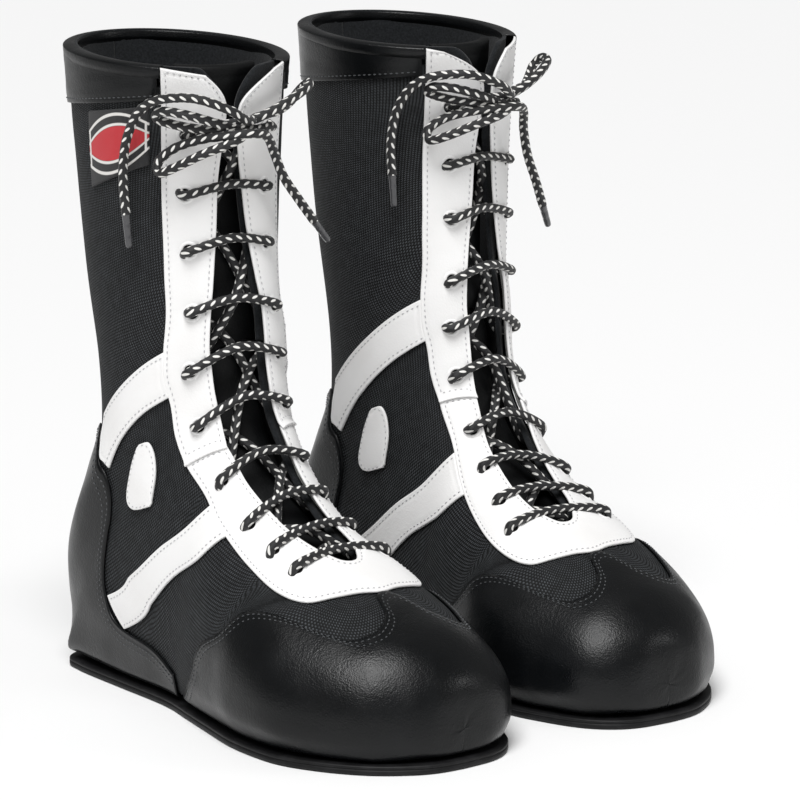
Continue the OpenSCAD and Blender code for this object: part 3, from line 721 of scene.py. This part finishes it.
COUNTER_LOW = [[8.7, 156], [9.4, 159], [10, 161], [10.5, 161.5], [10.8, 162], [11, 165], [11.15, 169],
               [11.2, 174], [11.22, 180]]
ANKLE_STRAP = {
    "outer": ([[14.1, 54], [14.5, 72], [14.8, 92], [14.85, 106]],
              [[12.4, 49], [12.8, 64], [12.9, 77], [12.7, 86]]),
    "inner": ([[14.1, -39], [14.5, -64], [14.8, -90], [14.85, -106]],
              [[12.4, -35], [12.8, -56], [12.9, -74], [12.7, -86]])}
INSTEP_STRAP = {
    "outer": ([[8.7, 44], [9.2, 61], [9.7, 74], [10.1, 86], [10.6, 99]],
              [[7.7, 41], [8.3, 60], [9.1, 77], [9.5, 89], [10, 105]]),
    "inner": ([[8.7, -37], [9.2, -59], [9.7, -73], [10.1, -86], [10.6, -99]],
              [[7.7, -41], [8.3, -60], [9.1, -77], [9.5, -89], [10, -105]])}
ANKLE_PATCH_FRONT = [[12.2, 68.4], [11.9, 63.5], [11.3, 61], [10.8, 62.5], [10.45, 68.4]]
ANKLE_PATCH_BACK = [[12.2, 69.6], [11.95, 74.5], [11.4, 78.5], [10.9, 77], [10.45, 69.6]]
LABEL_FRONT, LABEL_BACK = [[18.8, 53], [17.6, 54]], [[18.8, 92], [17.6, 94]]
QUARTER_BACK = [[19.3, 179.5], [17, 179.5], [15.9, 179.4], [15.55, 174], [15.2, 155], [14.5, 123], [12, 112],
                [10.2, 120], [9.6, 138], [9, 151], [8.2, 151], [7.6, 106], [5.6, 54], [3.5, 38], [3.4, 0.5]]
OUTER_QUARTER_FRONT = [[19.3, 45], [17, 46], [15.5, 51], [14.4, 53], [12.5, 48], [10.2, 46], [8.5, 42],
                       [6.6, 37], [5.4, 30], [5.1, 14], [4.9, 0.5]]
INNER_QUARTER_FRONT = [[19.3, -30], [17, -31], [15.5, -36], [14.4, -38], [12.5, -34], [10.2, -32], [8.5, -36],
                       [6.6, -41], [5.4, -34], [5.1, -18], [4.9, -0.5]]


FOOT_LINING_FRONT = [[0.4, 1.5], [2, 1.5], [4, 1.5], [5.1, 3], [6, 9], [8, 20], [10, 25], [12.5, 26]]
FOOT_LINING_FRONT_INNER = [[0.4, 358.5], [2, 358.5], [4, 358.5], [5.1, 353], [6, 347], [8, 345], [10, 350],
                           [12.5, 351]]
SHAFT_LINING_FRONT = [[12.55, 26], [14.8, 25], [16.6, 18], [18.6, 13], [19.8, 24], [20, 30]]
SHAFT_LINING_FRONT_INNER = [[12.55, 351], [14.8, 352], [16.6, 359], [18.6, 363], [19.8, 350], [20, 340]]
FOOTBED = [[2.5, 174], [2.9, 171], [3.5, 169.5], [4.5, 168.5], [6, 168], [8, 168], [9, 168.5], [9.8, 170],
           [10.2, 172], [10.4, 176]]
SOLE_OUTLINE = [[-0.5, 0, 0], [0.2, 8, 8], [3, 20, 20], [7, 28.6, 28.6], [12, 33.2, 33.2], [20, 34.7, 34.7],
                [32, 36, 35.8], [60, 37.2, 36.3], [100, 39, 36.5], [125, 44.2, 40.2], [150, 49.8, 45.8],
                [175, 55, 53.4], [200, 56, 58], [215, 53.5, 57.4], [230, 46.8, 53.4], [240, 40.5, 50],
                [248, 34, 46.2], [254, 27.3, 41.8], [259, 20, 36.4], [263, 12.5, 29.6], [265.3, 4, 21],
                [266.2, -7, 7]]


# How far an upper facing's lower end is lifted, where it laps over the vamp facing
LAP = 1.25


def sewn_panel(name, node_name, edge_a, edge_b, material, side, rows, columns, groove=GROOVE, **options):
    stations, angles = loft_grid(edge_a, edge_b, rows, columns)
    return sewn_sheet(f"{side}_{name}", stations, angles, OVER_IN, 0.0, material, side, groove=groove,
                      slot=material, replaces=f"{side}_{node_name}", **options)


def both_sides(edge):
    return edge + [[s, 360 - q] for s, q in reversed(edge[:-1])]


def seam(edge, angle):
    return [[s, angle] for s, _ in edge]


def waves(stations, angles, depth, phase=0.0):
    """Slow hollows and swellings of cloth and leather, the same on every run."""
    q = np.radians(angles)
    return depth * (np.sin(1.9 * stations + 3 * q + phase) + 0.6 * np.sin(3.3 * stations - 5 * q + 2 * phase)
                    + 0.4 * np.sin(6.1 * stations + 8 * q + 3 * phase)) / 2


def ankle_creases(stations, angles):
    """Shallow folds that run round the front and sides of the ankle, where the boot bends."""
    q = np.radians(np.abs(np.mod(angles + 180, 360) - 180))
    band = np.exp(-((stations - 12.4 + 0.5 * q) / 1.5) ** 2)
    return -0.32 * band * (0.5 + 0.5 * np.sin(7.5 * stations + 2.2 * q)) ** 2


RIM_STATION, RIM_MIDDLE = 19.93, -3.3
RIM_OUTER = {"half": 3.5, "top": 1.3}
RIM_UNDER = {"half": 2.5, "top": 0.4}
RIM_DROP = 14


def make_rim(side):
    """The collar's leather, turned over the top edge and down inside the shaft."""
    angles = np.linspace(47, 328, 240)[:, None]
    turn = np.radians(np.concatenate([[-18, -9], np.linspace(0, 180, 15), [189, 198]]))[None, :]
    across, rise = np.cos(turn), np.sin(turn)
    upward = unit(place(19.95, angles) - place(19.5, angles))
    points = skin(RIM_STATION, angles, RIM_MIDDLE + RIM_OUTER["half"] * across + waves(6.0, angles, 0.12))
    points = points + upward * np.where(rise > 0, RIM_OUTER["top"] * rise, RIM_DROP * rise)[..., None]
    sink = skin(RIM_STATION, angles, RIM_MIDDLE + RIM_UNDER["half"] * across)
    sink = sink + upward * np.where(rise > 0, RIM_UNDER["top"] * rise, RIM_DROP * rise)[..., None]
    rows, columns = points.shape[:2]
    count = rows * columns
    faces = grid_faces(rows, columns, flip=True) + grid_faces(rows, columns, count)
    loop = rim_loop(rows, columns)
    faces += [(b, a, a + count, b + count) for a, b in zip(loop, loop[1:] + loop[:1])]
    make_object(f"{side}_collar_rim", np.concatenate([points.reshape(-1, 3), sink.reshape(-1, 3)]), faces,
                "black_leather", side)


def make_upper(side):
    white, black, mesh = "white_leather", "black_leather", "mesh_cloth"
    for which, a, b in (("outer", OUTER_FACING_GAP, OUTER_FACING_EDGE),
                        ("inner", INNER_FACING_EDGE, INNER_FACING_GAP)):
        a, b = [edge[:-1] + [[edge[-1][0] - 0.14, edge[-1][1]]] for edge in (a, b)]
        stations, angles = loft_grid(a, b, 170, 26)
        along_lap = np.linspace(0, 1, len(stations))[:, None] + 0 * stations
        lap = LAP * np.clip((along_lap - 0.93) / 0.05, 0, 1) ** 2
        sewn_sheet(f"{side}_{which}_facing_leather", stations, angles, OVER_IN, 0.0, white, side,
                   groove=GROOVE, slot=white, replaces=f"{side}_{which}_facing", lift=lap)
    sewn_panel("vamp_facing_leather", "vamp_facing", VAMP_GAP, VAMP_EDGE, white, side, 240, 26)
    for which, front, back in (("outer", OUTER_QUARTER_FRONT, QUARTER_BACK),
                               ("inner", mirrored(QUARTER_BACK), INNER_QUARTER_FRONT)):
        stations, angles = loft_grid(front, back, 200, 70)
        soft = waves(stations, angles, 0.22, 0.7) + ankle_creases(stations, angles)
        sewn_sheet(f"{side}_{which}_quarter_mesh", stations, angles, MESH_IN, MESH_OUT, mesh, side, slot=mesh,
                   replaces=f"{side}_{which}_quarter", extra=soft)
    for which in ("outer", "inner"):
        for kind, strap in (("ankle_strap", ANKLE_STRAP), ("instep_strap", INSTEP_STRAP)):
            top, low = strap[which]
            a, b = (top, low) if which == "outer" else (low, top)
            sewn_panel(f"{which}_{kind}_leather", f"{which}_{kind}", a, b, white, side, 70, 18)
        a, b = ((ANKLE_PATCH_FRONT, ANKLE_PATCH_BACK) if which == "outer" else
                (mirrored(ANKLE_PATCH_BACK), mirrored(ANKLE_PATCH_FRONT)))
        sewn_panel(f"{which}_ankle_patch_leather", f"{which}_ankle_patch", a, b, white, side, 50, 16,
                   groove=PATCH_GROOVE, puff=0.3)
    tip = [[0.02, q * 180 / 140] for _, q in CAP_EDGE]
    stations, angles = loft_grid(CAP_EDGE, tip, 240, 90, 1.5, 0.25)
    sewn_sheet(f"{side}_toe_cap_leather", stations, angles, OVER_IN, 0.0, black, side, groove=GROOVE,
               slot=black, replaces=f"{side}_toe_cap", extra=waves(stations, angles, 0.12, 0.3),
               open_ends=("first_row", "last_row", "last_column"))
    stations, angles = loft_grid(both_sides(COUNTER_TOP), both_sides(COUNTER_LOW), 160, 50)
    sewn_sheet(f"{side}_heel_counter_leather", stations, angles, OVER_IN, 0.0, black, side, groove=GROOVE,
               slot=black, replaces=f"{side}_heel_counter", extra=waves(stations, angles, 0.12, 0.9))
    stations, angles = loft_grid([[19.97, 49], [18.95, 49]], [[19.97, 326], [18.95, 326]], 20, 220)
    sewn_sheet(f"{side}_collar_leather", stations, angles, OVER_IN, 0.0, black, side, groove=2.0, slot=black,
               replaces=f"{side}_collar_band", extra=waves(4 * stations, angles, 0.15, 2.1))
    make_rim(side)
    sewn_panel("cuff_patch", "cuff_label", LABEL_FRONT, LABEL_BACK, "label_patch", side, 20, 20, groove=None,
               uv_unit=True)


TONGUE_HALF_ANGLE = 36


def make_lining(side):
    """Felt lining in halves, a padded tongue in its two parts, and the footbed."""
    parts = (("foot_lining", FOOT_LINING_FRONT, FOOT_LINING_FRONT_INNER, 0.45),
             ("shaft_lining", SHAFT_LINING_FRONT, SHAFT_LINING_FRONT_INNER, 0.6))
    for part, front, front_inner, drop in parts:
        for which in ("outer", "inner"):
            edges = (front, seam(front, 179.8))
            if which == "inner":
                edges = (seam(front_inner, 180.2), front_inner)
            stations, angles = loft_grid(*edges, 110, 60)
            name = f"{side}_{which}_{part}"
            sewn_sheet(name + "_cloth", stations, angles, LINING_IN - drop, LINING_OUT - drop, "felt_lining",
                       side, slot="felt_lining", replaces=name, extra=waves(stations, angles, 0.1))
    for part, first, last, bend in (("tongue_base", 5.3, 12.35, 0.0), ("tongue_flap", 12.5, 19.9, 0.5)):
        u = edge_steps(90, 0.01)[:, None]
        v = edge_steps(44, 0.03)[None, :] * 2 - 1
        stations = first + (last - first) * u + bend * (1 - u) * v ** 2
        angles = lace_centre(stations) + TONGUE_HALF_ANGLE * v
        body = f"{side}_tongue" if part == "tongue_flap" else None
        open_ends = ("last_row",) if part == "tongue_base" else ("first_row",)
        pad = sewn_sheet(f"{side}_{part}_pad", stations, angles, TONGUE_IN, TONGUE_OUT, "tongue_leather",
                         side, groove=5.5, round_edge=1.8, puff=0.9, slot="tongue_leather",
                         replaces=f"{side}_{part}", body=body, open_ends=open_ends,
                         extra=waves(stations, angles, 0.25, 1.7))
    stations, angles = loft_grid(FOOTBED, [[s, 360 - q] for s, q in FOOTBED], 90, 30)
    sewn_sheet(f"{side}_footbed_cloth", stations, angles, FOOTBED_IN, FOOTBED_OUT, "footbed_cloth", side,
               slot="felt_lining", replaces=f"{side}_footbed")


def make_outsole(side):
    """The rubber sole: its side is rounded below and above, with a shallow groove round it."""
    share = np.linspace(0, 1, 110)
    rim = along(SOLE_OUTLINE, share)
    outer = np.stack([-rim[:, 1], BOOT_MID - rim[:, 0]], -1)
    inner = np.stack([rim[:, 2], BOOT_MID - rim[:, 0]], -1)[-2:0:-1]
    loop = np.concatenate([outer, inner])
    tangent = np.roll(loop, -1, 0) - np.roll(loop, 1, 0)
    normal = unit(np.stack([tangent[:, 1], -tangent[:, 0]], -1))
    if np.sum(normal * (loop - loop.mean(0))) < 0:
        normal = -normal
    profile = [(0.0, 1.8), (0.15, 0.9), (0.6, 0.25), (1.2, 0.0), (2.5, 0.0), (2.7, 0.35), (3.0, 0.35),
               (3.2, 0.0), (4.0, 0.05), (4.4, 0.35), (4.58, 1.0)]
    points = np.concatenate([np.concatenate([loop - inset * normal, np.full((len(loop), 1), height)], 1)
                             for height, inset in profile])
    count = len(loop)
    faces = grid_faces(len(profile), count, wrap=True)
    faces.append(tuple(range(count)))
    faces.append(tuple((len(profile) - 1) * count + j for j in reversed(range(count))))
    return make_object(f"{side}_outsole_rubber", points, faces, "rubber_sole", side, slot="rubber_sole",
                       replaces=f"{side}_outsole")


def make_stitching(side):
    rows = []
    for edge, gap in ((OUTER_FACING_EDGE, OUTER_FACING_GAP), (INNER_FACING_EDGE, INNER_FACING_GAP),
                      (VAMP_EDGE, VAMP_GAP)):
        rows += [inset_line(edge, gap, GROOVE, trim=0.01), inset_line(gap, edge, GROOVE, trim=0.01)]
        for end in (0, -1):
            a, b = np.array(edge[end], float), np.array(gap[end], float)
            inside = np.array(edge[1 if end == 0 else -2], float) - a
            shift = 0.14 * np.sign(inside[0])
            line = a + (b - a) * np.linspace(0.08, 0.92, 60)[:, None]
            line[:, 0] += shift
            rows.append(line)
    for which in ("outer", "inner"):
        for strap in (ANKLE_STRAP, INSTEP_STRAP):
            top, low = strap[which]
            rows += [inset_line(top, low, 2.2), inset_line(low, top, 2.2)]
        sign = 1 if which == "outer" else -1
        front, back = [[[s, sign * q] for s, q in edge] for edge in (ANKLE_PATCH_FRONT, ANKLE_PATCH_BACK)]
        rows += [inset_line(front, back, PATCH_GROOVE, trim=0.08),
                 inset_line(back, front, PATCH_GROOVE, trim=0.08)]
    stitches(f"{side}_white_panel_stitching", rows, side)
    tip = [[0.02, q * 178 / 140] for _, q in CAP_EDGE]
    counter, counter_low = both_sides(COUNTER_TOP), both_sides(COUNTER_LOW)
    collar = [[18.95, q] for q in np.linspace(50, 325, 24)]
    dark = [inset_line(CAP_EDGE, tip, 2.2), inset_line(CAP_EDGE, tip, 4.6),
            inset_line(counter, counter_low, 2.2), inset_line(counter, counter_low, 4.6),
            inset_line(collar, [[19.97, q] for _, q in collar], 2.0)]
    stitches(f"{side}_black_panel_stitching", dark, side, "dark_thread")
    back = [np.stack([np.linspace(15.5, 19.0, 120), np.full(120, q)], -1) for q in (176.5, 183.5)]
    stitches(f"{side}_back_seam_stitching", back, side, "dark_thread", height=MESH_OUT + 0.1)


HOLE_RADIUS = 2.9
# Radius and height of the drawn-up leather round a hole, from the inside out
HOLE_RIM = ((2.75, 0.0), (2.95, 0.3), (3.35, 0.42), (3.9, 0.28), (4.5, -0.05))


def make_holes(side):
    """A dark punched hole under each turn of the lace, with the leather drawn up a little round it."""
    points, faces, rims, rim_faces = [], [], [], []
    around = 20
    for sign in (1, -1):
        for station, angle in HOLES[sign]:
            angle = angle + lace_centre(station)
            centre, lift = skin(station, angle, 0.0), outward(np.float64(station), np.float64(angle))
            across = unit(np.cross(lift, [0.0, 0.0, 1.0]))
            up = np.cross(lift, across)
            turn = 2 * np.pi * np.arange(around) / around
            ring = np.cos(turn)[:, None] * across + np.sin(turn)[:, None] * up
            first = len(points)
            points += list(centre + HOLE_RADIUS * ring + 0.06 * lift)
            faces.append(tuple(first + j for j in range(around)))
            first = len(rims)
            for radius, height in HOLE_RIM:
                rims += list(centre + radius * ring + height * lift)
            rim_faces += grid_faces(len(HOLE_RIM), around, first, wrap=True)
    make_object(f"{side}_punched_holes", points, faces, "hole_shadow", side)
    make_object(f"{side}_hole_rims", rims, rim_faces, "white_leather", side)


for side in SIDES:
    make_upper(side)
    make_lining(side)
    make_outsole(side)
    make_stitching(side)
    make_holes(side)


# ---------------------------------------------------------------- the CAD nodes that stay
KEPT = {"insole_board": "fibre_board", "toe_puff": "stiffener", "heel_stiffener": "stiffener",
        "lace_stays": "stiffener"}
for side in SIDES:
    for kept, material in KEPT.items():
        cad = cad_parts[f"{side}_{kept}"]
        cad.data.materials.clear()
        cad.data.materials.append(MATERIALS[material])


# ---------------------------------------------------------------- floor and light
def make_stage():
    mesh = bpy.data.meshes.new("floor")
    half = 6
    corners = [(-half, -half, 0), (half, -half, 0), (half, half, 0), (-half, half, 0)]
    mesh.from_pydata(corners, [], [(0, 1, 2, 3)])
    floor = bpy.data.objects.new("floor", mesh)
    mesh.materials.append(new_material("floor", (0.93, 0.93, 0.93), 0.7)[0])
    bpy.context.scene.collection.objects.link(floor)
    world = bpy.data.worlds.new("studio")
    world.use_nodes = True
    world.node_tree.nodes["Background"].inputs["Color"].default_value = (1, 1, 1, 1)
    world.node_tree.nodes["Background"].inputs["Strength"].default_value = 0.22
    bpy.context.scene.world = world


LIT_POINT = Vector((0, 0, 0.12))


def add_light(name, where, size, energy):
    """A square lamp at a place, turned towards the boots."""
    data = bpy.data.lights.new(name, "AREA")
    data.shape = "RECTANGLE"
    data.size = size
    data.size_y = size
    data.energy = energy
    lamp = bpy.data.objects.new(name, data)
    lamp.location = where
    lamp.rotation_euler = (Vector(where) - LIT_POINT).to_track_quat("Z", "Y").to_euler()
    bpy.context.scene.collection.objects.link(lamp)


def add_sun():
    data = bpy.data.lights.new("sun", "SUN")
    data.energy = 3.0
    data.angle = math.radians(30)
    lamp = bpy.data.objects.new("sun", data)
    lamp.rotation_euler = Vector((-0.55, -0.5, 1.35)).to_track_quat("Z", "Y").to_euler()
    bpy.context.scene.collection.objects.link(lamp)


make_stage()
bpy.context.scene.view_settings.view_transform = "Standard"
add_sun()
add_light("key", (-1.3, -1.2, 1.6), 0.5, 6)
add_light("side", (1.2, -1.4, 0.8), 0.4, 3)
